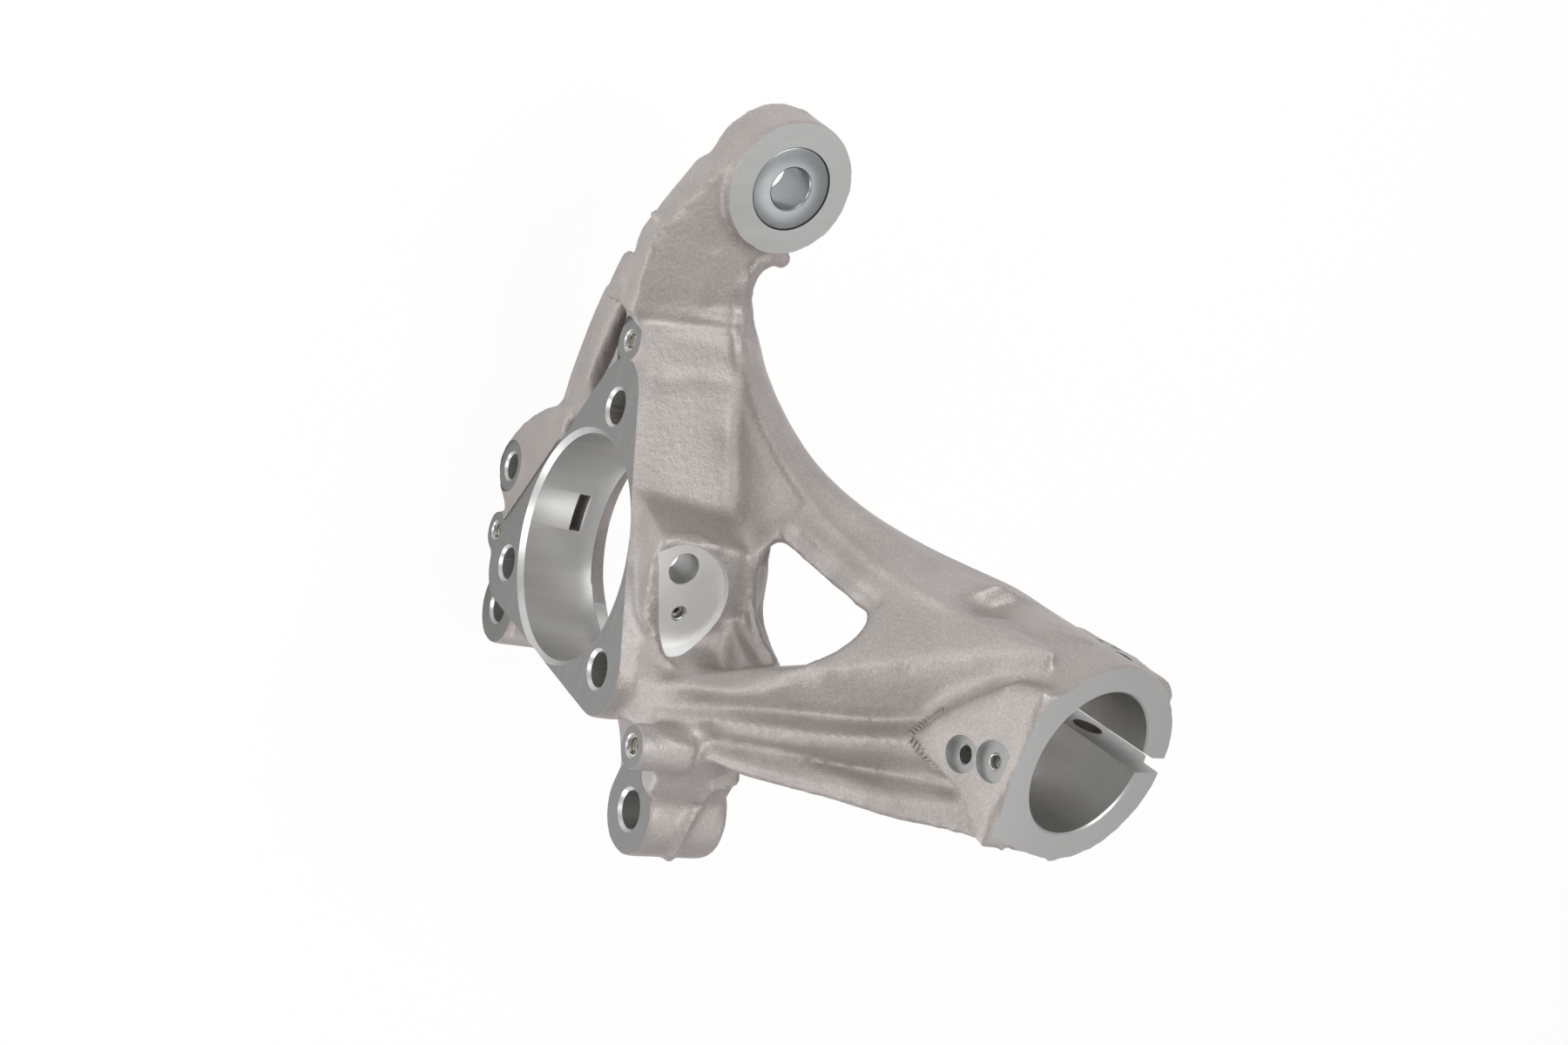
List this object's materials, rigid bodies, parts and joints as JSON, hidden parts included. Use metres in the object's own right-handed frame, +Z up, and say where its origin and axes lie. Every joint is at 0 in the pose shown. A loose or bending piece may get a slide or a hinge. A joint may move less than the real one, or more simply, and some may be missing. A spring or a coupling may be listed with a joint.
{
  "type": "steering knuckle",
  "caption": "Cast aluminium steering knuckle with a machined hub bore, a split strut clamp on a ribbed neck, caliper lugs and a steering arm with a steel bush.",
  "frame": {"origin": "centre of the hub bore on the machined flange face", "axes": "+Y outboard along the wheel axis, +X forward along the steering arm, +Z up towards the strut clamp"},
  "size_m": [0.2694, 0.1659, 0.2829],
  "materials": {
    "casting": "sand-cast and machined",
    "bush": "zinc plated",
    "insert": "stainless wire"
  },
  "bodies": {
    "root": {"knuckle": "casting", "arm_bush": "bush", "thread_inserts": "insert"}
  },
  "joints": []
}
